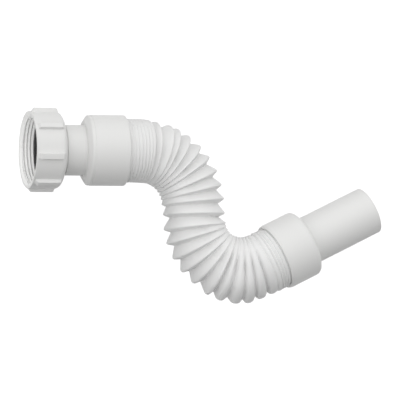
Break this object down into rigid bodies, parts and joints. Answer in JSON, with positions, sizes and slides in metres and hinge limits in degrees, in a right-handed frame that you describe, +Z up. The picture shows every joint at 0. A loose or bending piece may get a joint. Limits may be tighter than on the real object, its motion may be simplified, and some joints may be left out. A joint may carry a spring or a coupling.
{
  "type": "corrugated waste pipe",
  "caption": "Flexible bellows waste pipe bent into an S, with a ribbed union nut and black washer at one end and a plain spigot at the other.",
  "frame": {"origin": "middle of the underside of the whole part's box, on the surface it lies on", "axes": "+Z up; +X along the inlet's axis in plan, from the union nut towards the hose; +Y away from the side that the hose bends to"},
  "size_m": [0.251, 0.1306, 0.0569],
  "materials": {
    "white_plastic": "satin moulded white polypropylene",
    "hose_plastic": "satin blown white polypropylene",
    "black_rubber": "matt black rubber"
  },
  "bodies": {
    "inlet": {"inlet_tail": "white_plastic", "sealing_washer": "black_rubber", "bellows_hose": "hose_plastic"},
    "nut": {"union_nut": "white_plastic"},
    "outlet": {"outlet_spigot": "white_plastic"}
  },
  "joints": [
    {"name": "nut_spin", "type": "hinge", "parent": "inlet", "child": "nut", "pos_m": [-0.12353, 0.03742, 0.02919], "axis": [0.9972, 0, -0.075], "continuous": true},
    {"name": "hose_flex", "type": "hinge", "parent": "inlet", "child": "outlet", "pos_m": [-0.00704, -0.00831, 0.022], "axis": [0, 0, 1], "range_deg": [-60, 45], "deforming": ["bellows_hose"]}
  ]
}
